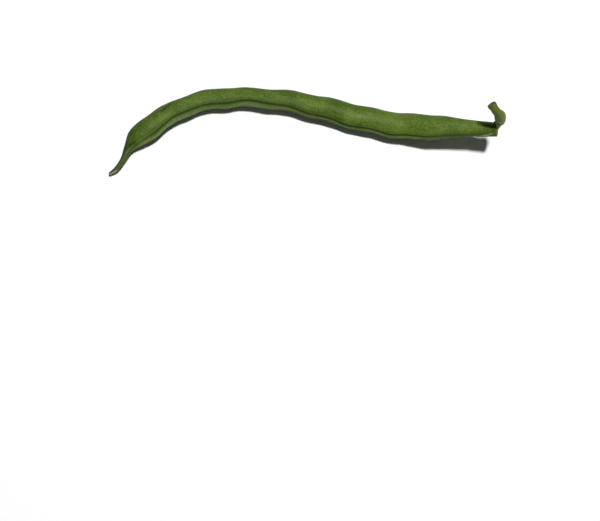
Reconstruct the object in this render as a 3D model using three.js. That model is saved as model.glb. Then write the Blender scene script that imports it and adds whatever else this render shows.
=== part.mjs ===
// A green snap bean as picked, lying on its side: a slender bowed pod with a beak, the small calyx
// cup round its neck, and the hooked, cut stub of its stalk.
// Millimetres, +Z up. The origin is under the middle of the bean, on the surface that it lies on.
// +X runs along the pod towards the stalk, and the pod bows towards +Y.
import * as THREE from "three";

const { smoothstep, lerp, degToRad } = THREE.MathUtils;

// Pod: stations along its spine from the neck to the tip of the beak.
// Each is x, y, the clearance under the pod, the pod's half width, and where its seam lies, in
// degrees from straight up towards the inside of the bow.
const POD_STATIONS = [
  [65.6, -0.1, 13.0, 1.95, 60],
  [57.3, 0.05, 9.2, 2.9, 58],
  [47.3, 0.75, 4.8, 3.95, 56],
  [35.1, 1.7, 0.8, 4.05, 60],
  [22.3, 4.0, 0.0, 3.95, 60],
  [9.3, 7.35, 0.0, 3.75, 60],
  [-3.75, 10.3, 0.0, 3.4, 48],
  [-16.8, 11.6, 0.0, 3.2, 30],
  [-29.85, 11.5, 0.0, 3.2, 43],
  [-41.95, 8.35, 0.0, 3.35, 34],
  [-51.45, 2.95, 0.0, 3.6, 46],
  [-58.05, -1.95, 0.0, 3.6, 44],
  [-61.2, -6.0, 1.5, 1.8, 44],
  [-63.2, -9.95, 2.5, 1.0, 42],
  [-65.5, -13.1, 2.1, 0.85, 42],
  [-68.3, -15.0, 1.3, 0.5, 42],
];
const POD_RINGS = 96;
const POD_SIDES = 36;
const NECK_ROUNDING = 0.5;
const TIP_ROUNDING = 0.4;
const ROUNDING_RINGS = 4;
const OVAL = 0.03; // extra depth from seam to back, as a share of the half width
const SETTLED = 0.15; // depth by which the underside is flattened where the pod lies

// Seam along the pod's inner edge: a groove between two lips, with a low ridge along the back.
const SEAM_RISE = [0.04, 0.2]; // the stretch over which its relief comes up at the neck
const SEAM_FADE = [0.84, 0.93]; // and the stretch over which it dies away before the beak
const GROOVE_DEPTH = 0.35;
const GROOVE_HALF_WIDTH = 0.55;
const UPPER_LIP_HEIGHT = 0.2;
const LOWER_LIP_HEIGHT = 0.45;
const LIP_OFFSET = 1.35;
const LIP_HALF_WIDTH = 0.8;
const BACK_RIDGE_HEIGHT = 0.2;
const BACK_RIDGE_HALF_WIDTH = 0.7;
const SEAM_CROWDING = 0.6; // draws the sides of each ring together at the seam

// Seeds swell the pod's outer side in a row, and its inner side half a pitch further on, where they
// sway the seam too.
const SEED_COUNT = 8;
const FIRST_SEED = 14.4; // from the neck's end, along the spine
const SEED_PITCH = 14.75;
const SEED_HALF_LENGTH = 4.4;
const SEED_BULGE = 0.55;
const SEED_RISE = [10, 30]; // the stretch over which the swelling comes up from the neck
const INNER_SIDE = degToRad(40); // from the seam
const SEAM_SWAY = degToRad(3);

// Calyx: a thin, shallow cup with small teeth, and one long lobe that stands off under the seam.
const CALYX_SIDES = 30;
const CALYX_GAP = 0.2; // between the neck and the cup
const CALYX_WALL = 0.4;
const CALYX_BASE_ROUNDING = 0.2;
const CALYX_EDGE_ROUNDING = 0.05;
const CALYX_REACH = 0.4; // from floor to rim, away from the lobe
const CALYX_TEETH = 5;
const CALYX_TOOTH = 0.06;
const LOBE_REACH = 6.5; // how much further the lobe reaches
const LOBE_SPREAD = 0.4; // how much further it stands off the neck at its root
const LOBE_TAPER = 0.5; // the share of its wall that it loses towards its tip
const LOBE_TURN = degToRad(100); // where it is, from straight up
const LOBE_SLIMNESS = 16; // the power that narrows it

// Pedicel: the hooked stub of the stalk, from the calyx's base to its clean cut.
// Its lengths and places along itself are shares of its whole length.
const PEDICEL_STATIONS = [
  [66.3, 1.6, 18.3],
  [65.8, 2.4, 21.8],
  [64.9, 3.6, 24.8],
  [63.7, 4.85, 26.8],
  [62.4, 6.55, 27.5],
];
const PEDICEL_SIDES = 16;
const PEDICEL_RINGS = 18;
const PEDICEL_GAP = 0.15; // between the calyx's base and the pedicel
const PEDICEL_FOOT_RADIUS = 1.75;
const PEDICEL_FOOT_LENGTH = 0.3; // the stretch over which the foot narrows to the stalk
const PEDICEL_FOOT_TURNING = 0.4; // the stretch over which its rings leave the base's plane
const PEDICEL_FOOT_FLARE = 0.6; // over the rest of the calyx's base
const PEDICEL_FLARE_HEIGHT = 0.05;
const PEDICEL_FOOT_OFFSET = 0.5; // from the middle of the calyx's base
const PEDICEL_FOOT_TURN = degToRad(-45); // from straight up, away from the lobe
const PEDICEL_RADIUS = 1.3;
const KNUCKLE_SWELL = 1.1; // on the outside of the hook
const KNUCKLE_PLACE = 0.49;
const KNUCKLE_HALF_LENGTH = 0.22;
const CUT_FLARE = 0.2;
const CUT_FLARE_START = 0.7;
const PEDICEL_RIBS = 5;
const PEDICEL_RIB_HEIGHT = 0.06;

// Colour and finish of each piece.
const POD_FINISH = { color: 0x5c7131, roughness: 0.5, metalness: 0 };
const CALYX_FINISH = { color: 0x5b712f, roughness: 0.6, metalness: 0 };
const PEDICEL_FINISH = { color: 0x617534, roughness: 0.6, metalness: 0 };

const UP = new THREE.Vector3(0, 0, 1);
const FULL_TURN = 2 * Math.PI;

const bell = (distance, halfWidth) => Math.exp(-((distance / halfWidth) ** 2));

// A lathe whose every vertex is then put in its place by place(along, radius, turn).
function reshapedLathe(profile, sides, place) {
  const geometry = new THREE.LatheGeometry(profile, sides);
  geometry.deleteAttribute("normal");
  geometry.deleteAttribute("uv");
  const position = geometry.getAttribute("position");
  for (let i = 0; i < position.count; i++) {
    const { x: radius, y: along } = profile[i % profile.length];
    const side = Math.floor(i / profile.length) % sides;
    const point = place(along, radius, (FULL_TURN * side) / sides);
    position.setXYZ(i, point.x, point.y, point.z);
  }
  geometry.computeVertexNormals();
  return geometry;
}

// The point at a distance and a turn from a line, where turn 0 is straight up and a quarter turn
// is level, to the left of the way that the line runs.
function aroundLine(centre, tangent, distance, turn) {
  const left = new THREE.Vector3().crossVectors(UP, tangent).normalize();
  const upward = new THREE.Vector3().crossVectors(tangent, left);
  return centre
    .clone()
    .addScaledVector(upward, distance * Math.cos(turn))
    .addScaledVector(left, distance * Math.sin(turn));
}

// The pod's spine, and a second curve with the same stations that carries its half width as x and
// where its seam lies as y.
const podSpine = new THREE.CatmullRomCurve3(
  POD_STATIONS.map(
    ([x, y, clearance, half]) => new THREE.Vector3(x, y, clearance + half - SETTLED),
  ),
  false,
);
const podSections = new THREE.CatmullRomCurve3(
  POD_STATIONS.map(([, , , half, seam]) => new THREE.Vector3(half, degToRad(seam), 0)),
  false,
  "catmullrom",
);

const podLength = podSpine.getLength();

function podSection(distance) {
  return podSections.getPoint(podSpine.getUtoTmapping(distance / podLength));
}

function podHalf(distance) {
  return podSection(distance).x;
}

// Where the seam lies, as a turn from straight up.
function seamTilt(distance) {
  const pastSeed = (FULL_TURN * (distance - FIRST_SEED)) / SEED_PITCH;
  return podSection(distance).y - SEAM_SWAY * Math.cos(pastSeed);
}

// How far the seeds swell the outer side, from 0 to 1, at a distance along the spine.
function seedSwell(distance) {
  let swell = 0;
  for (let seed = 0; seed < SEED_COUNT; seed++) {
    swell += bell(distance - FIRST_SEED - seed * SEED_PITCH, SEED_HALF_LENGTH);
  }
  return swell;
}

// The pod's radius at a turn from its seam.
function podRadius(distance, fromSeam) {
  const half = podHalf(distance);
  const share = distance / podLength;
  const seamArc = half * fromSeam;
  const backArc = half * (Math.PI - Math.abs(fromSeam));
  const relief = smoothstep(share, ...SEAM_RISE) * (1 - smoothstep(share, ...SEAM_FADE));
  const lowerLip = LOWER_LIP_HEIGHT * bell(seamArc - LIP_OFFSET, LIP_HALF_WIDTH);
  const upperLip = UPPER_LIP_HEIGHT * bell(seamArc + LIP_OFFSET, LIP_HALF_WIDTH);
  const inner = (1 + Math.cos(fromSeam - INNER_SIDE)) / 2;
  const swell = lerp(seedSwell(distance), seedSwell(distance - SEED_PITCH / 2), inner);
  return (
    half * (1 + OVAL * Math.cos(2 * fromSeam)) +
    SEED_BULGE * swell * smoothstep(distance, ...SEED_RISE) +
    relief * (lowerLip + upperLip) -
    relief * GROOVE_DEPTH * bell(seamArc, GROOVE_HALF_WIDTH) +
    relief * BACK_RIDGE_HEIGHT * bell(backArc, BACK_RIDGE_HALF_WIDTH)
  );
}

// Closes an end of the pod as a quarter round.
function rounding(distance, length) {
  const rest = 1 - Math.min(distance / length, 1);
  return Math.sqrt(1 - rest ** 2);
}

function makePod() {
  // The rings as shares of the spine: crowded where the ends round off, even between them.
  const neckShare = NECK_ROUNDING / podLength;
  const tipShare = TIP_ROUNDING / podLength;
  const shares = [];
  for (let ring = 0; ring < ROUNDING_RINGS; ring++) {
    shares.push(neckShare * (1 - Math.cos((ring / ROUNDING_RINGS) * (Math.PI / 2))));
  }
  for (let ring = 0; ring <= POD_RINGS; ring++) {
    shares.push(lerp(neckShare, 1 - tipShare, ring / POD_RINGS));
  }
  for (let ring = ROUNDING_RINGS - 1; ring >= 0; ring--) {
    shares.push(1 - tipShare * (1 - Math.cos((ring / ROUNDING_RINGS) * (Math.PI / 2))));
  }
  const profile = shares.map((share) => {
    const distance = share * podLength;
    const closing =
      rounding(distance, NECK_ROUNDING) * rounding(podLength - distance, TIP_ROUNDING);
    return new THREE.Vector2(closing, share);
  });
  return reshapedLathe(profile.reverse(), POD_SIDES, (share, closing, turn) => {
    const distance = share * podLength;
    const fromSeam = turn - SEAM_CROWDING * Math.sin(turn);
    const wrapped = fromSeam > Math.PI ? fromSeam - FULL_TURN : fromSeam;
    const point = aroundLine(
      podSpine.getPointAt(share),
      podSpine.getTangentAt(share),
      closing * podRadius(distance, wrapped),
      seamTilt(distance) + wrapped,
    );
    point.z = Math.max(point.z, 0);
    return point;
  });
}

// The point at a turn round the neck, at a distance from its end along the pod.
// Distances below 0 carry on straight beyond the end.
function aroundNeck(distance, radius, turn) {
  const share = Math.max(distance, 0) / podLength;
  const tangent = podSpine.getTangentAt(share);
  const centre = podSpine.getPointAt(share).addScaledVector(tangent, Math.min(distance, 0));
  return aroundLine(centre, tangent, radius, turn);
}

// How far the calyx's lobe is out, from 0 to 1, at a turn.
function lobeShare(turn) {
  return ((1 + Math.cos(turn - LOBE_TURN)) / 2) ** LOBE_SLIMNESS;
}

// How far the calyx's rim reaches from the cup's floor at a turn.
function calyxReach(turn) {
  const teeth = CALYX_TOOTH * Math.cos(CALYX_TEETH * (turn - LOBE_TURN));
  return CALYX_REACH + LOBE_REACH * lobeShare(turn) + teeth;
}

function makeCalyx() {
  const outer = CALYX_GAP + CALYX_WALL;
  // From the middle of the base, up the outside, over the rim, and down the inside to the middle
  // of the floor: distance from the neck's surface, and height over the floor. Heights above the
  // floor are shares of the rim's reach, and heights below it are shares of the wall.
  const base = [0, -1];
  const wall = [
    [outer - CALYX_BASE_ROUNDING, -1],
    [outer - CALYX_EDGE_ROUNDING, -0.6],
    [outer, 0.3],
    [outer, 0.7],
    [outer - CALYX_EDGE_ROUNDING, 1],
    [CALYX_GAP + CALYX_EDGE_ROUNDING, 1],
    [CALYX_GAP, 0.7],
    [CALYX_GAP, 0.3],
    [CALYX_GAP, 0],
  ];
  const floor = [0, 0];
  const profile = [base, ...wall, floor].map((point) => new THREE.Vector2(...point));
  return reshapedLathe(profile.reverse(), CALYX_SIDES, (height, fromNeck, turn) => {
    const rise = height * (height > 0 ? calyxReach(turn) : CALYX_WALL);
    const distance = rise - CALYX_GAP;
    const lobe = lobeShare(turn);
    const along = Math.max(height, 0);
    const thinned = lerp(fromNeck, CALYX_GAP, LOBE_TAPER * lobe * along);
    const spread = LOBE_SPREAD * lobe * (1 - along);
    const radius = fromNeck > 0 ? podHalf(Math.max(distance, 0)) + thinned + spread : 0;
    return aroundNeck(distance, radius, turn);
  });
}

const pedicelLine = new THREE.CatmullRomCurve3([
  aroundNeck(
    -(CALYX_GAP + CALYX_WALL + PEDICEL_GAP),
    PEDICEL_FOOT_OFFSET,
    PEDICEL_FOOT_TURN,
  ),
  ...PEDICEL_STATIONS.map((station) => new THREE.Vector3(...station)),
]);

function makePedicel() {
  const profile = [new THREE.Vector2(0, 0)];
  for (let ring = 0; ring <= PEDICEL_RINGS; ring++) {
    const share = ring / PEDICEL_RINGS;
    const radius =
      lerp(PEDICEL_FOOT_RADIUS, PEDICEL_RADIUS, smoothstep(share, 0, PEDICEL_FOOT_LENGTH)) +
      CUT_FLARE * smoothstep(share, CUT_FLARE_START, 1);
    profile.push(new THREE.Vector2(radius, share));
  }
  profile.push(new THREE.Vector2(0, 1));
  // The first ring lies flat on the calyx's base, and the next ones turn to face along the line.
  const neckwards = podSpine.getTangentAt(0).negate();
  return reshapedLathe(profile.reverse(), PEDICEL_SIDES, (share, radius, turn) => {
    const facing = neckwards
      .clone()
      .lerp(pedicelLine.getTangentAt(share), smoothstep(share, 0, PEDICEL_FOOT_TURNING))
      .normalize();
    const outer = (1 - Math.sin(turn)) / 2;
    const shoulder = bell((share - KNUCKLE_PLACE) ** 2, KNUCKLE_HALF_LENGTH ** 2);
    const knuckle = KNUCKLE_SWELL * outer * shoulder;
    const overBase = (1 - Math.cos(turn + PEDICEL_FOOT_TURN)) / 2;
    const flare = PEDICEL_FOOT_FLARE * overBase * bell(share, PEDICEL_FLARE_HEIGHT);
    const ribs = PEDICEL_RIB_HEIGHT * Math.cos(PEDICEL_RIBS * turn);
    const distance = radius > 0 ? radius + knuckle + flare + ribs : 0;
    return aroundLine(pedicelLine.getPointAt(share), facing, distance, turn);
  });
}

function makePiece(name, geometry, finish) {
  const mesh = new THREE.Mesh(geometry, new THREE.MeshStandardMaterial(finish));
  mesh.name = name;
  return mesh;
}

const bean = new THREE.Group();
bean.add(makePiece("pod", makePod(), POD_FINISH));
bean.add(makePiece("calyx", makeCalyx(), CALYX_FINISH));
bean.add(makePiece("pedicel", makePedicel(), PEDICEL_FINISH));

export default bean;
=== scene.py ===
"""Looks of a green snap bean that lies on its side: a bowed, seamed pod with a beak, the calyx cup
round its neck, and the hooked stub of its stalk. Forms are worked out in millimetres in the bean's
own frame, as arrays of rings by sides, and become meshes in metres."""

import bpy
import numpy as np
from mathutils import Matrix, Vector


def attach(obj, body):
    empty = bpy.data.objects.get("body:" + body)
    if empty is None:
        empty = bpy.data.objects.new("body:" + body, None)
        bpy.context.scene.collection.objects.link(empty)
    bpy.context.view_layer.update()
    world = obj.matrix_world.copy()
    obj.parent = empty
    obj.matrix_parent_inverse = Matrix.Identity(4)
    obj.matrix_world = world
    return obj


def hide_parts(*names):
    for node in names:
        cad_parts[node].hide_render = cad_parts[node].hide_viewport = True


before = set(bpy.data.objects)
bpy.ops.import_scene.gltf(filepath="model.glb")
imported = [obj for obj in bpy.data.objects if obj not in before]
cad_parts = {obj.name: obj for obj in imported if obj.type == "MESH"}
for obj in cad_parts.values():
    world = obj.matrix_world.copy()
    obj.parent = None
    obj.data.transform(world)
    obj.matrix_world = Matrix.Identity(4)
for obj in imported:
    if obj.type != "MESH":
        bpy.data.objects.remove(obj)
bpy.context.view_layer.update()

MM = 0.001
UP = np.array([0.0, 0.0, 1.0])
FULL_TURN = 2 * np.pi
HALF_TURN = np.pi
QUARTER_TURN = np.pi / 2

# Photograph: its size in pixels, the pixel over the bean's origin, and its scale.
PHOTO_SIZE = np.array([600, 521])
PHOTO_ORIGIN = np.array([303.4, 130.8])
MM_PER_PIXEL = 0.35

# Pod: stations along its spine from the neck to the tip of the beak.
# Each is x, y, the clearance under the pod, the pod's half width, and where its seam lies, in
# degrees from straight up towards the inside of the bow.
POD_STATIONS = np.array([
    [65.6, -0.1, 13.0, 1.95, 60],
    [57.3, 0.05, 9.2, 2.9, 58],
    [47.3, 0.75, 4.8, 3.95, 56],
    [35.1, 1.7, 0.8, 4.05, 60],
    [22.3, 4.0, 0.0, 3.95, 60],
    [9.3, 7.35, 0.0, 3.75, 60],
    [-3.75, 10.3, 0.0, 3.4, 48],
    [-16.8, 11.6, 0.0, 3.2, 30],
    [-29.85, 11.5, 0.0, 3.2, 43],
    [-41.95, 8.35, 0.0, 3.35, 34],
    [-51.45, 2.95, 0.0, 3.6, 46],
    [-58.05, -1.95, 0.0, 3.6, 44],
    [-61.2, -6.0, 1.5, 1.8, 44],
    [-63.2, -9.95, 2.5, 1.0, 42],
    [-65.5, -13.1, 2.1, 0.85, 42],
    [-68.3, -15.0, 1.3, 0.5, 42],
])
POD_RINGS = 600
POD_SIDES = 120
NECK_ROUNDING = 0.5
TIP_ROUNDING = 0.4
ROUNDING_RINGS = 12
OVAL = 0.03  # extra depth from seam to back, as a share of the half width
SETTLED = 0.15  # depth by which the underside is flattened where the pod lies

# Seam along the pod's inner edge: a groove between two lips, with a low ridge along the back.
# Stretches of the pod that are below 1 are shares of its length, and others are from the neck's end.
SEAM_RISE = (0.04, 0.2)  # the stretch over which its relief comes up at the neck
SEAM_FADE = (0.84, 0.93)  # and the stretch over which it dies away before the beak
SEAM_WAVER = np.radians(1.5)
WAVER_LENGTHS = (29, 19, 13, 8.3)
GROOVE_DEPTH = 0.35
GROOVE_HALF_WIDTH = 0.55
UPPER_LIP_HEIGHT = 0.2
LOWER_LIP_HEIGHT = 0.45
LIP_OFFSET = 1.35
LIP_HALF_WIDTH = 0.8
LIP_WAVER = 0.25  # how much the lips' height changes along the pod, as a share
BACK_RIDGE_HEIGHT = 0.2
BACK_RIDGE_HALF_WIDTH = 0.7
SEAM_CROWDING = 0.6  # draws the sides of each ring together at the seam

# Bands of colour along the seam: painted shade down its groove, and paler green on its lips. Each has
# its offset from the seam and its half width, on the beak half of the pod and on the stalk half.
STALK_HALF = (86, 66)  # the stretch over which the stalk half begins
GROOVE_SHADE = (0.0, 0.62)
STALK_GROOVE_SHADE = (-0.12, 0.74)
GROOVE_SHADE_RISE = (0.01, 0.06)
GROOVE_SHADE_FADE = (0.82, 0.89)
LOWER_LIP_PALE = (1.3, 0.7)
STALK_LIP_PALE = (0.75, 0.35)
STALK_LIP_SHARE = 0.7  # how pale the lower lip is on the stalk half, next to the beak half
UPPER_LIP_PALE = (-0.8, 0.35)
UPPER_LIP_SHARE = 0.4  # how pale the upper lip is, next to the lower
LIP_PALE_FADE = (0.9, 0.95)
PALEST_LIP = (108, 124)  # the stretch over which the lips' paler green gets stronger
PALEST_LIP_GAIN = 0.5
STALK_FLANK_SHADE = (0.75, 1.15)  # the offsets over which the painted shade below the lip begins

# Seeds swell the pod's outer side in a row, and its inner side half a pitch further on, where they
# sway the seam too.
SEED_COUNT = 8
FIRST_SEED = 14.4  # from the neck's end, along the spine
SEED_PITCH = 14.75
SEED_HALF_LENGTH = 4.4
SEED_BULGE = 0.55
SEED_RISE = (10, 30)  # the stretch over which the swelling comes up from the neck
INNER_SIDE = np.radians(40)  # from the seam
SEAM_SWAY = np.radians(3)

# Irregular swells of the skin: wave lengths along the pod, and their height.
SWELL_LENGTHS = (31, 23, 17, 13, 9.7, 7.3, 5.9)
SWELL_HEIGHT = 0.11
RIPPLE_LENGTHS = (4.1, 3.3, 2.7, 2.3, 1.9)
RIPPLE_HEIGHT = 0.022
LOBES_BELOW = 4  # a wave has fewer lobes than this round the pod
SWELL_SEED = 11

# Painted highlights, as paler patches of the skin: distance from the neck's end, and turn from
# straight up in degrees.
PAINTED_HIGHLIGHTS = ((121, 0), (108.5, -20), (94, -20), (81, -21), (64, -4), (50, -3))
HIGHLIGHT_HALF_LENGTH = 4.6
HIGHLIGHT_HALF_WIDTH = 1.6

# Scuffs in the skin, dented and darkened; those round the shoulder before the beak are also painted
# shade of its shaded side. Each has its distance from the neck's end, turn from straight up in
# degrees, half length and half width.
SCUFFS_AND_SHADE = (
    (130.6, -34, 1.0, 0.46),
    (126.4, -48, 1.2, 0.34),
    (122.9, -54, 1.7, 0.30),
    (117.4, -30, 1.0, 0.38),
    (116.2, -38, 1.2, 0.38),
    (114.6, -47, 0.9, 0.24),
    (88.9, -56, 1.4, 0.26),
    (136.0, -25, 0.9, 0.50),
    (134.2, -45, 1.2, 0.60),
    (132.2, -54, 1.3, 0.55),
    (130.5, -60, 1.3, 0.45),
    (133.8, 5, 0.9, 0.45),
    (132.3, 19, 0.8, 0.40),
)
SCUFF_DEPTH = 0.06

# The skin is paler towards the neck, and painted shade makes it deeper on the outer side of the bow
# and underneath. Turns are from straight up, and those of the underneath are on the inner side.
PALER_STRETCH = (75, 15)
OUTER_SHADE_TURN = np.radians(-94)
OUTER_SHADE_HALF_TURN = np.radians(50)
UNDERSIDE_SHADE_START = np.radians((66, 82))
UNDERSIDE_SHADE_END = np.radians((120, 175))

# Beak: its stretch of the pod, the dark line of painted shade along its outer side, and the pale
# streak at its tip.
BEAK = (0.9, 0.95)
BEAK_SHADE_LINE = (0.9, 0.93)
BEAK_SHADE_TURN = np.radians(-48)
BEAK_SHADE_HALF_TURN = np.radians(34)
TIP = (0.972, 0.984)
TIP_TURN = np.radians(50)
TIP_HALF_TURN = 0.48

# Calyx: a thin, shallow cup with small teeth, and one long lobe that stands off under the seam.
CALYX_SIDES = 180
CALYX_GAP = 0.2  # between the neck and the cup
CALYX_FIT = 0.03  # how close its inside comes to the neck
CALYX_WALL = 0.4
CALYX_BASE_ROUNDING = 0.2
CALYX_REACH = 0.4  # from floor to rim, away from the lobe
CALYX_TEETH = 5
CALYX_TOOTH = 0.06
LOBE_REACH = 6.5  # how much further the lobe reaches
LOBE_SPREAD = 0.4  # how much further it stands off the neck at its root
LOBE_TAPER = 0.5  # the share of its wall that it loses towards its tip
LOBE_TURN = np.radians(100)  # where it is, from straight up
LOBE_SLIMNESS = 16  # the power that narrows it
CALYX_SIDE_FOOT = -0.3  # where the rings of its outside start, as a share of the wall
CALYX_RIM_FOOT = 0.9  # where its rim starts to round over, as a share of the reach
RIM_HIGHLIGHT_STRETCH = (0.75, 0.95)  # the stretch over which the rim gets paler as a painted highlight, as shares of the reach
CALYX_BASE_RINGS = 8
CALYX_ROUNDING_RINGS = 6
CALYX_OUTSIDE_RINGS = 16
CALYX_RIM_RINGS = 9
CALYX_INSIDE_RINGS = 14
CALYX_FLOOR_RINGS = 5

# Pedicel: the hooked stub of the stalk, from the calyx's base to its clean cut.
# Its lengths and places along itself are shares of its whole length.
PEDICEL_STATIONS = (
    (66.3, 1.6, 18.3),
    (65.8, 2.4, 21.8),
    (64.9, 3.6, 24.8),
    (63.7, 4.85, 26.8),
    (62.4, 6.55, 27.5),
)
PEDICEL_SIDES = 96
PEDICEL_RINGS = 140
PEDICEL_BASE_RINGS = 5
PEDICEL_SINK = 0.05  # how deep its foot is set into the calyx's base
PEDICEL_FOOT_RADIUS = 1.75
PEDICEL_FOOT_LENGTH = 0.3  # the stretch over which the foot narrows to the stalk
PEDICEL_FOOT_TURNING = 0.4  # the stretch over which its rings leave the base's plane
PEDICEL_FOOT_FLARE = 0.6  # over the rest of the calyx's base
PEDICEL_FLARE_HEIGHT = 0.05
PEDICEL_FOOT_OFFSET = 0.5  # from the middle of the calyx's base
PEDICEL_FOOT_TURN = np.radians(-45)  # from straight up, away from the lobe
PEDICEL_RADIUS = 1.3
KNUCKLE_SWELL = 1.1  # on the outside of the hook
KNUCKLE_PLACE = 0.49
KNUCKLE_HALF_LENGTH = 0.22
LIT_KNUCKLE_PLACE = 0.32  # of the painted light, a paler green on the outside of the hook
LIT_KNUCKLE_HALF_LENGTH = 0.32
CUT_FLARE = 0.2
CUT_FLARE_START = 0.7
CUT_RINGS = 12
CUT_BROWNING = (0.02, 0.12)  # the share of the cut, from its edge, over which it turns brown
DISH_DEPTH = 0.35  # of the cut inside its standing rim
DISH_EDGE = 0.35  # the share of the cut over which it goes down
PEDICEL_RIBS = 5
PEDICEL_RIB_HEIGHT = 0.06
FINE_RIBS = 13
FINE_RIB_HEIGHT = 0.03
RIB_TWIST = 1.5  # over the whole length
PEDICEL_UNEVENNESS = 0.1
SCAR_PLACE = 0.43
SCAR_TURN = np.radians(16)
SCAR_HALF_LENGTH = 0.03
SCAR_HALF_TURN = 0.4


def bell(distance, half_width):
    return np.exp(-((distance / half_width) ** 2))


def smoothstep(value, low, high):
    share = np.clip((value - low) / (high - low), 0, 1)
    return share * share * (3 - 2 * share)


def between(value, rise, fade):
    """Comes up from 0 to 1 over one stretch, and dies away over another."""
    return smoothstep(value, *rise) * (1 - smoothstep(value, *fade))


def lerp(first, second, share):
    return first + (second - first) * share


def unit(vectors):
    return vectors / np.linalg.norm(vectors, axis=-1, keepdims=True)


def wrapped(turn):
    """The same turn, between minus half a turn and half a turn."""
    return (turn + HALF_TURN) % FULL_TURN - HALF_TURN


# Powers of the distance between points that a curve's parameter follows.
CENTRIPETAL = 0.5
EVEN = 0


def catmull_rom(points, share, power=CENTRIPETAL):
    """The curve through points at shares of its parameter, from 0 at the first to 1 at the last."""
    knots = np.vstack([2 * points[0] - points[1], points, 2 * points[-1] - points[-2]])
    place = np.clip(share, 0, 1) * (len(points) - 1)
    first = np.minimum(place.astype(int), len(points) - 2)
    x0, x1, x2, x3 = (knots[first + k] for k in range(4))
    spans = [(x0, x1), (x1, x2), (x2, x3)]
    d0, d1, d2 = (np.linalg.norm(b - a, axis=-1, keepdims=True) ** power for a, b in spans)
    leave = d1 * ((x1 - x0) / d0 - (x2 - x0) / (d0 + d1)) + x2 - x1
    arrive = d1 * ((x3 - x2) / d2 - (x3 - x1) / (d1 + d2)) + x2 - x1
    t = (place - first)[:, None]
    return (
        x1
        + leave * t
        + (3 * (x2 - x1) - 2 * leave - arrive) * t**2
        + (2 * (x1 - x2) + leave + arrive) * t**3
    )


class Line:
    """A smooth line through points, followed by the distance from its first point."""

    SAMPLES = 4000
    STEP = 0.02

    def __init__(self, points):
        self.points = np.array(points, float)
        self.shares = np.linspace(0, 1, self.SAMPLES)
        steps = np.diff(catmull_rom(self.points, self.shares), axis=0)
        self.distances = np.append(0, np.cumsum(np.linalg.norm(steps, axis=1)))
        self.length = self.distances[-1]

    def share(self, distance):
        return np.interp(distance, self.distances, self.shares)

    def point(self, distance):
        return catmull_rom(self.points, self.share(distance))

    def tangent(self, distance):
        ahead = np.minimum(distance + self.STEP, self.length)
        behind = np.maximum(distance - self.STEP, 0)
        return unit(self.point(ahead) - self.point(behind))


def around_line(centre, tangent, radius, turn):
    """Points at a radius and a turn from a line, ring by ring. Turn 0 is straight up, and a quarter
    turn is level, to the left of the way that the line runs."""
    left = unit(np.cross(UP, tangent))
    upward = np.cross(tangent, left)
    aside = np.cos(turn)[..., None] * upward[:, None] + np.sin(turn)[..., None] * left[:, None]
    return centre[:, None] + radius[..., None] * aside


def straightened(distance, radius, turn):
    """The same points round a straight line, for patterns that follow the piece."""
    across = radius * np.cos(turn)
    aside = radius * np.sin(turn)
    return np.stack([distance + 0 * turn, across, aside], axis=-1)


def swells(distance, turn, lengths, height, random):
    """Irregular swells: a wave of each length, with its own phase and lobes round the pod."""
    total = np.zeros(np.broadcast(distance, turn).shape)
    for length in lengths:
        lobes = random.integers(0, LOBES_BELOW)
        phase = random.uniform(0, FULL_TURN)
        total += np.sin(FULL_TURN * distance / length + lobes * turn + phase)
    return height * total / len(lengths)


# The pod's form

station_x, station_y, station_clearance, station_half, station_seam = POD_STATIONS.T
pod_line = Line(np.column_stack([station_x, station_y, station_clearance + station_half - SETTLED]))


def along_pod(values, distance):
    """What values at the stations come to at distances from the neck's end."""
    shares = pod_line.share(np.ravel(distance))
    return catmull_rom(values[:, None], shares, EVEN).reshape(np.shape(distance))


def pod_half(distance):
    """The pod's half width."""
    return along_pod(station_half, distance)


def seed_swell(distance):
    """How far the seeds swell the outer side, from 0 to 1."""
    seeds = FIRST_SEED + SEED_PITCH * np.arange(SEED_COUNT)
    return bell(distance[..., None] - seeds, SEED_HALF_LENGTH).sum(axis=-1)


def seam_tilt(distance):
    """Where the seam lies, as a turn from straight up."""
    past_seed = FULL_TURN * (distance - FIRST_SEED) / SEED_PITCH
    return np.radians(along_pod(station_seam, distance)) - SEAM_SWAY * np.cos(past_seed)


def rounding(distance, length):
    """Closes an end as a quarter round."""
    rest = 1 - np.minimum(distance / length, 1)
    return np.sqrt(1 - rest**2)


def spot_strength(distance, turn, half, spots):
    """How strong a set of spots on the skin is, from 0 to 1."""
    total = np.zeros(distance.shape)
    for place, degrees, half_length, half_width in spots:
        across = half * wrapped(turn - np.radians(degrees))
        total += bell(distance - place, half_length) * bell(across, half_width)
    return np.minimum(total, 1)


def seam_band(seam_arc, on_beak_half, on_stalk_half, stalk_half):
    """How strong a band along the seam is, from its offset and half width on each half of the pod."""
    offset, half_width = (lerp(*ends, stalk_half) for ends in zip(on_beak_half, on_stalk_half))
    return bell(seam_arc - offset, half_width)


def pod_rings():
    """Distances of the rings from the neck's end, crowded where the ends round off."""
    quarter = np.linspace(0, QUARTER_TURN, ROUNDING_RINGS, endpoint=False)
    neck = NECK_ROUNDING * (1 - np.cos(quarter))
    tip = pod_line.length - TIP_ROUNDING * (1 - np.cos(quarter))
    middle = np.linspace(NECK_ROUNDING, pod_line.length - TIP_ROUNDING, POD_RINGS)
    return np.concatenate([neck, middle, tip[::-1]])


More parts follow.
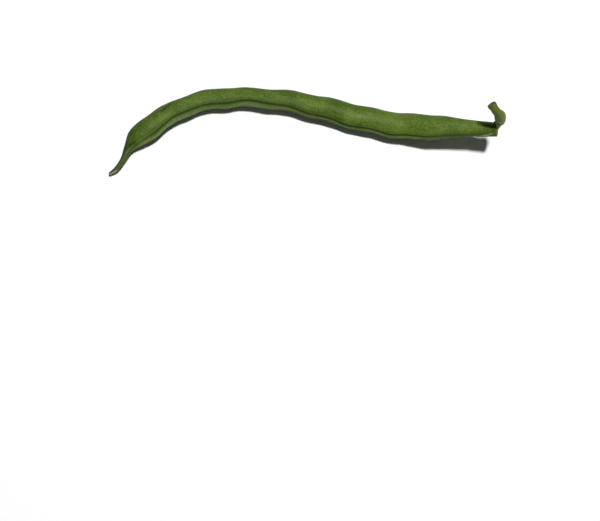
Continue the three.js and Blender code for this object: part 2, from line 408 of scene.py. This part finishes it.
def pod_radius(distance, from_seam, turn, random):
    """How far the skin is from the spine, before the ends close."""
    half = pod_half(distance)
    seam_arc = half * from_seam
    back_arc = half * (HALF_TURN - np.abs(from_seam))
    relief = between(distance / pod_line.length, SEAM_RISE, SEAM_FADE)
    waver = 1 + swells(distance, from_seam, SWELL_LENGTHS, LIP_WAVER, random)
    lower_lip = LOWER_LIP_HEIGHT * bell(seam_arc - LIP_OFFSET, LIP_HALF_WIDTH)
    upper_lip = UPPER_LIP_HEIGHT * bell(seam_arc + LIP_OFFSET, LIP_HALF_WIDTH)
    inner = (1 + np.cos(from_seam - INNER_SIDE)) / 2
    seeds = lerp(seed_swell(distance), seed_swell(distance - SEED_PITCH / 2), inner)
    body = np.minimum(half / station_half.max(), 1)
    return (
        half * (1 + OVAL * np.cos(2 * from_seam))
        + SEED_BULGE * seeds * smoothstep(distance, *SEED_RISE)
        + relief * waver * (lower_lip + upper_lip)
        - relief * GROOVE_DEPTH * bell(seam_arc, GROOVE_HALF_WIDTH)
        + relief * BACK_RIDGE_HEIGHT * bell(back_arc, BACK_RIDGE_HALF_WIDTH)
        + body * swells(distance, turn, SWELL_LENGTHS, SWELL_HEIGHT, random)
        + body * swells(distance, turn, RIPPLE_LENGTHS, RIPPLE_HEIGHT, random)
        - SCUFF_DEPTH * spot_strength(distance, turn, half, SCUFFS_AND_SHADE)
    )


def pod_reads(distance, from_seam, turn, radius):
    """What the pod's skin reads at each point."""
    share = distance / pod_line.length
    half = pod_half(distance)
    seam_arc = half * from_seam
    stalk_half = smoothstep(distance, *STALK_HALF)

    painted_groove_shade = seam_band(seam_arc, GROOVE_SHADE, STALK_GROOVE_SHADE, stalk_half)
    lower_lip = seam_band(seam_arc, LOWER_LIP_PALE, STALK_LIP_PALE, stalk_half)
    lower_lip *= lerp(1, STALK_LIP_SHARE, stalk_half)
    upper_lip = UPPER_LIP_SHARE * seam_band(seam_arc, UPPER_LIP_PALE, UPPER_LIP_PALE, stalk_half)
    lips = between(share, SEAM_RISE, LIP_PALE_FADE) * (lower_lip + upper_lip)
    palest = 1 + PALEST_LIP_GAIN * smoothstep(distance, *PALEST_LIP)

    # Painted shade: a deeper green underneath on the inner side, and on the stalk half from just below
    # the lower lip.
    inner_turn = np.maximum(wrapped(turn), 0)
    below = lerp(smoothstep(inner_turn, *UNDERSIDE_SHADE_START), smoothstep(seam_arc, *STALK_FLANK_SHADE), stalk_half)
    painted_underside_shade = below * (inner_turn > 0) * (1 - smoothstep(inner_turn, *UNDERSIDE_SHADE_END))

    highlight_spots = [(*painted_highlight, HIGHLIGHT_HALF_LENGTH, HIGHLIGHT_HALF_WIDTH) for painted_highlight in PAINTED_HIGHLIGHTS]
    on_beak_shade = bell(wrapped(turn - BEAK_SHADE_TURN), BEAK_SHADE_HALF_TURN)
    on_streak = bell(wrapped(turn - TIP_TURN), TIP_HALF_TURN)
    return {
        "straight": straightened(distance, radius, from_seam),
        # painted shade down the groove
        "painted_groove_shade": between(share, GROOVE_SHADE_RISE, GROOVE_SHADE_FADE) * painted_groove_shade,
        "lip": palest * lips,
        # painted highlights in paler patches
        "painted_highlight": spot_strength(distance, turn, half, highlight_spots),
        # scuffs, with painted shade round the shoulder before the beak
        "scuff_and_shade": spot_strength(distance, turn, half, SCUFFS_AND_SHADE),
        "paler": smoothstep(distance, *PALER_STRETCH),
        # painted shade on the outer side of the bow
        "outer": bell(wrapped(turn - OUTER_SHADE_TURN), OUTER_SHADE_HALF_TURN),
        # painted shade underneath, and on the flank below the lower lip on the stalk half
        "painted_underside_shade": painted_underside_shade,
        "beak": smoothstep(share, *BEAK),
        # painted shade along the beak's outer side
        "line": smoothstep(share, *BEAK_SHADE_LINE) * on_beak_shade,
        "tip": smoothstep(share, *TIP) * on_streak,
    }


def pod_form():
    """The pod's points, and what its skin reads from each."""
    random = np.random.default_rng(SWELL_SEED)
    ring = pod_rings()
    side = np.linspace(0, FULL_TURN, POD_SIDES, endpoint=False)
    distance, around = np.meshgrid(ring, side, indexing="ij")
    from_seam = wrapped(around - SEAM_CROWDING * np.sin(around))
    turn = from_seam + seam_tilt(distance)
    turn += swells(distance, 0, WAVER_LENGTHS, SEAM_WAVER, random)
    radius = pod_radius(distance, from_seam, turn, random)
    closing = rounding(distance, NECK_ROUNDING)
    closing *= rounding(pod_line.length - distance, TIP_ROUNDING)
    points = around_line(pod_line.point(ring), pod_line.tangent(ring), closing * radius, turn)
    points[..., 2] = np.maximum(points[..., 2], 0)
    return points, pod_reads(distance, from_seam, turn, radius)


# The calyx's form

def around_neck(distance, radius, turn):
    """Points round the neck, at a distance from its end along the pod.
    Distances below 0 carry on straight beyond the end."""
    flat = np.ravel(distance)
    tangent = pod_line.tangent(np.maximum(flat, 0))
    centre = pod_line.point(np.maximum(flat, 0)) + tangent * np.minimum(flat, 0)[:, None]
    points = around_line(centre, tangent, np.ravel(radius)[:, None], np.ravel(turn)[:, None])
    return points.reshape(*np.shape(distance), 3)


def lobe_share(turn):
    """How far the calyx's lobe is out, from 0 to 1, at a turn."""
    return ((1 + np.cos(turn - LOBE_TURN)) / 2) ** LOBE_SLIMNESS


def calyx_reach(turn):
    """How far the calyx's rim reaches from the cup's floor at a turn."""
    teeth = CALYX_TOOTH * np.cos(CALYX_TEETH * (turn - LOBE_TURN))
    return CALYX_REACH + LOBE_REACH * lobe_share(turn) + teeth


def calyx_profile():
    """From the middle of the base, up the outside, over the rim, and down the inside to the middle
    of the floor: share of the radius, distance from the neck's surface, and height over the floor.
    Heights above the floor are shares of the rim's reach, and heights below it of the wall."""
    outer = CALYX_GAP + CALYX_WALL
    middle = (outer + CALYX_FIT) / 2
    edge = outer - CALYX_BASE_ROUNDING
    rows = [(share, edge, -1) for share in np.linspace(0, 1, CALYX_BASE_RINGS)]
    for angle in np.linspace(0, QUARTER_TURN, CALYX_ROUNDING_RINGS)[1:]:
        rise = CALYX_BASE_ROUNDING / CALYX_WALL * (1 - np.cos(angle))
        rows.append((1, edge + CALYX_BASE_ROUNDING * np.sin(angle), rise - 1))
    outside = np.linspace(CALYX_SIDE_FOOT, CALYX_RIM_FOOT, CALYX_OUTSIDE_RINGS)
    rows += [(1, outer, height) for height in outside]
    for angle in np.linspace(0, HALF_TURN, CALYX_RIM_RINGS)[1:-1]:
        across = middle + (outer - CALYX_FIT) / 2 * np.cos(angle)
        rows.append((1, across, lerp(CALYX_RIM_FOOT, 1, np.sin(angle))))
    inside = np.linspace(CALYX_RIM_FOOT, 0, CALYX_INSIDE_RINGS)
    rows += [(1, CALYX_FIT, height) for height in inside]
    rows += [(share, CALYX_FIT, 0) for share in np.linspace(1, 0, CALYX_FLOOR_RINGS)[1:]]
    return np.array(rows)


def calyx_form():
    """The calyx's points, and what its skin reads from each."""
    side = np.linspace(0, FULL_TURN, CALYX_SIDES, endpoint=False)
    profile = calyx_profile()[:, None, :]
    inward, from_neck, height = (profile[..., k] + 0 * side for k in range(3))
    turn = 0 * height + side
    rise = height * np.where(height > 0, calyx_reach(turn), CALYX_WALL)
    distance = rise - CALYX_GAP
    lobe = lobe_share(turn)
    along = np.maximum(height, 0)
    thinning = 1 - LOBE_TAPER * lobe * along
    spread = LOBE_SPREAD * lobe * (1 - along) * from_neck / (CALYX_GAP + CALYX_WALL)
    radius = inward * (pod_half(np.maximum(distance, 0)) + from_neck * thinning + spread)
    reads = {
        "straight": straightened(distance, radius, turn),
        # painted highlight along the rim
        "rim": smoothstep(height, *RIM_HIGHLIGHT_STRETCH),
    }
    return around_neck(distance, radius, turn), reads


# The pedicel's form

pedicel_foot = around_neck(
    np.array([PEDICEL_SINK - CALYX_GAP - CALYX_WALL]),
    np.array([PEDICEL_FOOT_OFFSET]),
    np.array([PEDICEL_FOOT_TURN]),
)
pedicel_line = Line(np.vstack([pedicel_foot, PEDICEL_STATIONS]))


def pedicel_form():
    """The pedicel's points, and what its skin reads from each."""
    random = np.random.default_rng(SWELL_SEED)
    base = np.linspace(0, 1, PEDICEL_BASE_RINGS)[:-1]
    cap = np.linspace(1, 0, CUT_RINGS)[1:]
    along = np.concatenate([0 * base, np.linspace(0, 1, PEDICEL_RINGS), np.ones(len(cap))])
    inward = np.concatenate([base, np.ones(PEDICEL_RINGS), cap])
    side = np.linspace(0, FULL_TURN, PEDICEL_SIDES, endpoint=False)
    share, turn = np.meshgrid(along, side, indexing="ij")
    inward = inward[:, None] + 0 * turn

    foot = smoothstep(share, 0, PEDICEL_FOOT_LENGTH)
    outer = (1 - np.sin(turn)) / 2
    over_base = (1 - np.cos(turn + PEDICEL_FOOT_TURN)) / 2
    twisted = turn + RIB_TWIST * share
    ribs = PEDICEL_RIB_HEIGHT * np.cos(PEDICEL_RIBS * turn)
    fine_ribs = FINE_RIB_HEIGHT * np.cos(FINE_RIBS * twisted)
    distance = along * pedicel_line.length
    radius = (
        lerp(PEDICEL_FOOT_RADIUS, PEDICEL_RADIUS, foot)
        + CUT_FLARE * smoothstep(share, CUT_FLARE_START, 1)
        + KNUCKLE_SWELL * outer * bell((share - KNUCKLE_PLACE) ** 2, KNUCKLE_HALF_LENGTH**2)
        + PEDICEL_FOOT_FLARE * over_base * bell(share, PEDICEL_FLARE_HEIGHT)
        + ribs
        + fine_ribs
        + swells(distance[:, None], turn, RIPPLE_LENGTHS, PEDICEL_UNEVENNESS, random)
    )
    # The first ring lies flat on the calyx's base, and the next ones turn to face along the line.
    outward = -pod_line.tangent(np.array([0.0]))
    turning = smoothstep(along, 0, PEDICEL_FOOT_TURNING)[:, None]
    facing = unit(lerp(outward, pedicel_line.tangent(distance), turning))
    points = around_line(pedicel_line.point(distance), facing, inward * radius, turn)
    cut = (share == 1) * (1 - inward)
    points -= DISH_DEPTH * smoothstep(cut, 0, DISH_EDGE)[..., None] * facing[:, None]
    at_scar = bell(share - SCAR_PLACE, SCAR_HALF_LENGTH)
    reads = {
        "straight": straightened(distance[:, None], radius, turn),
        "cut": smoothstep(cut, *CUT_BROWNING),
        "rib": (ribs + fine_ribs) / (PEDICEL_RIB_HEIGHT + FINE_RIB_HEIGHT),
        # painted light on the outside of the hook
        "painted_knuckle_light": outer * bell(share - LIT_KNUCKLE_PLACE, LIT_KNUCKLE_HALF_LENGTH),
        "scar": at_scar * bell(wrapped(turn - SCAR_TURN), SCAR_HALF_TURN),
    }
    return points, reads


# Meshes

def closed_mesh(name, points, reads):
    """A closed mesh over rings of points, whose first and last rings are each a single point."""
    rings, sides = points.shape[0] - 2, points.shape[1]
    ring, side = np.meshgrid(np.arange(rings - 1), np.arange(sides), indexing="ij")
    after = (side + 1) % sides
    corners = [ring * sides + side, (ring + 1) * sides + side]
    corners += [(ring + 1) * sides + after, ring * sides + after]
    quads = np.stack(corners, axis=-1).reshape(-1, 4)
    start, end = rings * sides, rings * sides + 1
    last = (rings - 1) * sides
    faces = quads.tolist()
    for one in range(sides):
        other = (one + 1) % sides
        faces.append((start, one, other))
        faces.append((end, last + other, last + one))

    def per_vertex(values):
        body = values[1:-1].reshape(rings * sides, *values.shape[2:])
        return np.concatenate([body, values[:1].mean(axis=1), values[-1:].mean(axis=1)])

    mesh = bpy.data.meshes.new(name)
    mesh.from_pydata((per_vertex(points) * MM).tolist(), [], faces)
    mesh.shade_smooth()
    for read, values in reads.items():
        kind, field = ("FLOAT_VECTOR", "vector") if values.ndim == 3 else ("FLOAT", "value")
        attribute = mesh.attributes.new(read, kind, "POINT")
        attribute.data.foreach_set(field, per_vertex(values).astype(np.float32).ravel())
    return mesh


def add_piece(name, form, skin, node):
    """Makes a piece from its form, with its skin, in the place of a node."""
    mesh = closed_mesh(name, *form)
    mesh.materials.append(skin)
    piece = bpy.data.objects.new(name, mesh)
    bpy.context.scene.collection.objects.link(piece)
    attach(piece, "root")
    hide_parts(node)


# Skins

LEAF_DARK = (0.038, 0.074, 0.003)
LEAF_MIDDLE = (0.070, 0.117, 0.010)
LEAF_LIGHT = (0.108, 0.166, 0.023)
LEAF_PALE = (0.126, 0.189, 0.030)
# painted shade down the seam's groove
GROOVE_PAINTED_SHADE = (0.024, 0.042, 0.005)
# painted shade underneath the pod
UNDERSIDE_PAINTED_SHADE = (0.034, 0.056, 0.006)
LIP_GREEN = (0.190, 0.260, 0.085)
BEAK_GREEN = (0.066, 0.088, 0.034)
TIP_CREAM = (0.620, 0.570, 0.340)
# dark brown-green of the scuffs, also used as painted shade along the beak and round its shoulder
SCUFF_AND_SHADE_BROWN = (0.014, 0.022, 0.006)
# painted highlight along the calyx's rim
RIM_PAINTED_HIGHLIGHT = (0.230, 0.300, 0.095)
STALK_DARK = (0.050, 0.090, 0.008)
STALK_LIGHT = (0.115, 0.170, 0.026)
# painted light on the outside of the hook
KNUCKLE_PAINTED_LIGHT = (0.230, 0.320, 0.060)
CUT_BROWN = (0.120, 0.092, 0.040)
CUT_EDGE = (0.050, 0.048, 0.020)
SCAR_CREAM = (0.420, 0.380, 0.190)

# Patterns of each skin: their scale to the millimetre, the share of it that they have along the
# piece, and their levels of finer detail with the strength of those.
POD_PATTERNS = {
    "cloud": (0.16, 1, 3, 0.5),
    "fibre": (1.1, 0.3, 4, 0.5),
    "grain": (1.9, 1, 4, 0.7),
}
CALYX_PATTERNS = {"fibre": (2.4, 0.4, 4, 0.5), "grain": (5, 1, 3, 0.5)}
STALK_PATTERNS = {"fibre": (2.6, 0.3, 4, 0.5), "grain": (5, 1, 3, 0.5)}

# Tone of each skin: how much its patterns and what its mesh reads add to it, and the greens along it.
POD_TONE = {
    "cloud": 0.4,
    "fibre": 0.15,
    "grain": 0.95,
    # painted highlights in paler patches
    "painted_highlight": 0.115,
    "paler": 0.11,
    # painted shade on the outer side of the bow
    "outer": -0.12,
}
POD_GREENS = ((0.665, LEAF_DARK), (0.805, LEAF_MIDDLE), (0.945, LEAF_LIGHT), (1, LEAF_PALE))
CALYX_TONE = {"fibre": 0.6, "grain": 0.4}
CALYX_GREENS = ((0.35, LEAF_DARK), (0.5, LEAF_MIDDLE), (0.68, LEAF_LIGHT))
STALK_TONE = {"fibre": 0.55, "grain": 0.35, "rib": 0.12}
STALK_GREENS = ((0.3, STALK_DARK), (0.62, STALK_LIGHT))

# Marks on each skin, in the order in which they are laid on: their colour, and the patterns that
# break them up, each from a low to a high level with the mark's strength at the two.
POD_MARKS = {
    "lip": (LIP_GREEN, ("grain", 0.35, 0.65, 0.3, 0.95)),
    # painted shade underneath and below the lower lip
    "painted_underside_shade": (UNDERSIDE_PAINTED_SHADE, ("fibre", 0.3, 0.7, 0.7, 0.9)),
    # painted shade down the groove
    "painted_groove_shade": (GROOVE_PAINTED_SHADE, ("grain", 0.35, 0.65, 0.5, 1), ("fibre", 0.38, 0.58, 0.7, 1)),
    "beak": (BEAK_GREEN, ("fibre", 0.35, 0.65, 0.3, 0.8)),
    # painted shade along the beak's outer side
    "line": (SCUFF_AND_SHADE_BROWN, ("fibre", 0.35, 0.65, 0.6, 1)),
    # scuffs, with painted shade round the shoulder before the beak
    "scuff_and_shade": (SCUFF_AND_SHADE_BROWN, ("grain", 0.4, 0.6, 0.7, 1)),
    "tip": (TIP_CREAM, ("grain", 0.35, 0.6, 0.6, 1)),
}
# painted highlight along the calyx's rim
CALYX_MARKS = {"rim": (RIM_PAINTED_HIGHLIGHT, ("grain", 0.3, 0.7, 0.6, 1))}
# painted light on the outside of the hook, and the scar's own cream
STALK_MARKS = {"painted_knuckle_light": (KNUCKLE_PAINTED_LIGHT, ("fibre", 0.3, 0.7, 0.6, 1)), "scar": (SCAR_CREAM,)}
CUT_GRAIN = (0.35, 0.65)  # the levels of the grain between the two browns of the cut

# Fine relief of each skin in millimetres, and its roughness, from a low to a high level of the grain.
POD_RELIEF = {"fibre": 0.5, "grain": 0.5}
POD_RELIEF_DEPTH = 0.12
CALYX_RELIEF_DEPTH = 0.1
STALK_RELIEF_DEPTH = 0.12
POD_ROUGHNESS = (0.3, 0.7, 0.46, 0.62)
CALYX_ROUGHNESS = (0.3, 0.7, 0.5, 0.66)
STALK_ROUGHNESS = (0.3, 0.7, 0.5, 0.68)
SKIN_GLOSS = 0.15


class Skin:
    """A material with a Principled shader, and short ways to add the nodes that drive it. Its patterns
    are noises over the straightened piece, and other nodes use them by name."""

    # The colours of a Mix node share their names with its other sockets, so they go by number.
    MIX_SHARE = 0
    MIX_COLOURS = (6, 7)
    MIX_RESULT = 2

    def __init__(self, name, **patterns):
        self.material = bpy.data.materials.new(name)
        self.material.use_nodes = True
        self.tree = self.material.node_tree
        self.shader = self.tree.nodes["Principled BSDF"]
        self.patterns = {pattern: self.noise(*settings) for pattern, settings in patterns.items()}

    def feed(self, socket, source):
        if isinstance(source, bpy.types.NodeSocket):
            self.tree.links.new(source, socket)
        elif socket.type == "RGBA":
            socket.default_value = (*source, 1)
        else:
            socket.default_value = source

    def set(self, **values):
        for name, value in values.items():
            self.feed(self.shader.inputs[name.replace("_", " ")], value)

    def read(self, name, output="Fac"):
        """What the mesh reads at each point."""
        node = self.tree.nodes.new("ShaderNodeAttribute")
        node.attribute_name = name
        return node.outputs[output]

    def noise(self, scale, along, detail, roughness):
        place = self.tree.nodes.new("ShaderNodeVectorMath")
        place.operation = "MULTIPLY"
        self.feed(place.inputs[0], self.read("straight", "Vector"))
        self.feed(place.inputs[1], (along, 1, 1))
        node = self.tree.nodes.new("ShaderNodeTexNoise")
        self.feed(node.inputs["Vector"], place.outputs["Vector"])
        self.feed(node.inputs["Scale"], scale)
        self.feed(node.inputs["Detail"], detail)
        self.feed(node.inputs["Roughness"], roughness)
        return node.outputs["Fac"]

    def math(self, operation, first, second):
        node = self.tree.nodes.new("ShaderNodeMath")
        node.operation = operation
        self.feed(node.inputs[0], first)
        self.feed(node.inputs[1], second)
        return node.outputs["Value"]

    def blend(self, weights):
        """The sum of patterns and of what the mesh reads, each times its weight."""
        total = 0
        for name, weight in weights.items():
            value = self.patterns[name] if name in self.patterns else self.read(name)
            total = self.math("ADD", total, self.math("MULTIPLY", value, weight))
        return total

    def level(self, pattern, low, high, at_low=0, at_high=1):
        """A value that goes with a pattern, from a low to a high level of it."""
        node = self.tree.nodes.new("ShaderNodeMapRange")
        self.feed(node.inputs["Value"], self.patterns[pattern])
        self.feed(node.inputs["From Min"], low)
        self.feed(node.inputs["From Max"], high)
        self.feed(node.inputs["To Min"], at_low)
        self.feed(node.inputs["To Max"], at_high)
        return node.outputs["Result"]

    def ramp(self, value, stops):
        node = self.tree.nodes.new("ShaderNodeValToRGB")
        elements = node.color_ramp.elements
        while len(elements) < len(stops):
            elements.new(1)
        for element, (place, colour) in zip(elements, stops):
            element.position = place
            element.color = (*colour, 1)
        self.feed(node.inputs["Fac"], value)
        return node.outputs["Color"]

    def mix(self, share, first, second):
        node = self.tree.nodes.new("ShaderNodeMix")
        node.data_type = "RGBA"
        self.feed(node.inputs[self.MIX_SHARE], share)
        for number, colour in zip(self.MIX_COLOURS, (first, second)):
            self.feed(node.inputs[number], colour)
        return node.outputs[self.MIX_RESULT]

    def marked(self, colour, marks):
        """A colour with marks laid over it."""
        for name, (mark_colour, *breaks) in marks.items():
            share = self.read(name)
            for pattern_and_levels in breaks:
                share = self.math("MULTIPLY", share, self.level(*pattern_and_levels))
            colour = self.mix(share, colour, mark_colour)
        return colour

    def dress(self, colour, relief, relief_depth, roughness):
        """Gives the shader its colour, its fine relief, its roughness and its gloss."""
        bump = self.tree.nodes.new("ShaderNodeBump")
        self.feed(bump.inputs["Height"], relief)
        self.feed(bump.inputs["Distance"], relief_depth * MM)
        self.set(
            Base_Color=colour,
            Normal=bump.outputs["Normal"],
            Roughness=self.level("grain", *roughness),
            Specular_IOR_Level=SKIN_GLOSS,
        )


def pod_skin():
    skin = Skin("pod_skin", **POD_PATTERNS)
    green = skin.ramp(skin.blend(POD_TONE), POD_GREENS)
    green = skin.marked(green, POD_MARKS)
    skin.dress(green, skin.blend(POD_RELIEF), POD_RELIEF_DEPTH, POD_ROUGHNESS)
    return skin.material


def calyx_skin():
    skin = Skin("calyx_skin", **CALYX_PATTERNS)
    tone = skin.blend(CALYX_TONE)
    green = skin.marked(skin.ramp(tone, CALYX_GREENS), CALYX_MARKS)
    skin.dress(green, tone, CALYX_RELIEF_DEPTH, CALYX_ROUGHNESS)
    return skin.material


def pedicel_skin():
    skin = Skin("stalk_skin", **STALK_PATTERNS)
    tone = skin.blend(STALK_TONE)
    green = skin.marked(skin.ramp(tone, STALK_GREENS), STALK_MARKS)
    wood = skin.mix(skin.level("grain", *CUT_GRAIN), CUT_EDGE, CUT_BROWN)
    green = skin.mix(skin.read("cut"), green, wood)
    skin.dress(green, tone, STALK_RELIEF_DEPTH, STALK_ROUGHNESS)
    return skin.material


add_piece("bean_pod", pod_form(), pod_skin(), "pod")
add_piece("bean_calyx", calyx_form(), calyx_skin(), "calyx")
add_piece("bean_pedicel", pedicel_form(), pedicel_skin(), "pedicel")


# Floor, lights and camera

# Floor and lights, in metres and watts.
FLOOR_SIDE = 6.0
FLOOR_WHITE = (0.9, 0.9, 0.9)
FLOOR_ROUGHNESS = 0.8
FLOOR_GLOSS = 0.2
KEY_DISTANCE = 2.6
KEY_WIDTH = 0.26
KEY_POWER = 78.5
SHADOW_RUN = (-0.17, -0.29)  # how far the key's shadows fall, along x and y, for each unit of height
OVERHEAD_DISTANCE = 1.6
OVERHEAD_WIDTH = 1.0
OVERHEAD_POWER = 0.7
SKY_WHITE = (1, 1, 1, 1)
SKY_LIGHT = 0.04  # the sky's strength as a light
SKY_SEEN = 1.0  # and where the camera sees it

# Camera, in millimetres.
LENS = 80  # puts the camera so near that the raised stalk end shows further out than it is
SENSOR = 36
SCALE_HEIGHT = 4  # the height that the photograph's scale holds at


def add_floor():
    side = FLOOR_SIDE / 2
    mesh = bpy.data.meshes.new("floor")
    corners = [(-side, -side, 0), (side, -side, 0), (side, side, 0), (-side, side, 0)]
    mesh.from_pydata(corners, [], [(0, 1, 2, 3)])
    skin = Skin("floor")
    skin.set(Base_Color=FLOOR_WHITE, Roughness=FLOOR_ROUGHNESS, Specular_IOR_Level=FLOOR_GLOSS)
    mesh.materials.append(skin.material)
    floor = bpy.data.objects.new("floor", mesh)
    bpy.context.scene.collection.objects.link(floor)


def add_light(name, towards, distance, width, power):
    """A round light that shines at the origin, from a distance in a direction."""
    light = bpy.data.lights.new(name, "AREA")
    light.shape = "DISK"
    light.size = width
    light.energy = power
    lamp = bpy.data.objects.new(name, light)
    towards = Vector(towards).normalized()
    lamp.location = towards * distance
    lamp.rotation_euler = towards.to_track_quat("Z", "Y").to_euler()
    bpy.context.scene.collection.objects.link(lamp)


def add_sky():
    """Even light from all round, which looks white where it is seen."""
    world = bpy.data.worlds.new("sky")
    world.use_nodes = True
    tree = world.node_tree
    seen = tree.nodes.new("ShaderNodeLightPath").outputs["Is Camera Ray"]
    strength = tree.nodes.new("ShaderNodeMapRange")
    strength.inputs["To Min"].default_value = SKY_LIGHT
    strength.inputs["To Max"].default_value = SKY_SEEN
    tree.links.new(seen, strength.inputs["Value"])
    background = tree.nodes["Background"]
    background.inputs["Color"].default_value = SKY_WHITE
    tree.links.new(strength.outputs["Result"], background.inputs["Strength"])
    bpy.context.scene.world = world


def add_camera():
    """Straight above the middle of the photograph's frame."""
    middle = (PHOTO_SIZE / 2 - PHOTO_ORIGIN) * MM_PER_PIXEL
    width = PHOTO_SIZE[0] * MM_PER_PIXEL
    data = bpy.data.cameras.new("camera")
    data.lens = LENS
    data.sensor_width = SENSOR
    camera = bpy.data.objects.new("camera", data)
    camera.location = Vector((middle[0], -middle[1], SCALE_HEIGHT + width * LENS / SENSOR)) * MM
    bpy.context.scene.collection.objects.link(camera)
    bpy.context.scene.camera = camera


add_floor()
add_light("key", (-SHADOW_RUN[0], -SHADOW_RUN[1], 1), KEY_DISTANCE, KEY_WIDTH, KEY_POWER)
add_light("overhead", UP, OVERHEAD_DISTANCE, OVERHEAD_WIDTH, OVERHEAD_POWER)
add_sky()
add_camera()
bpy.context.scene.view_settings.view_transform = "Standard"
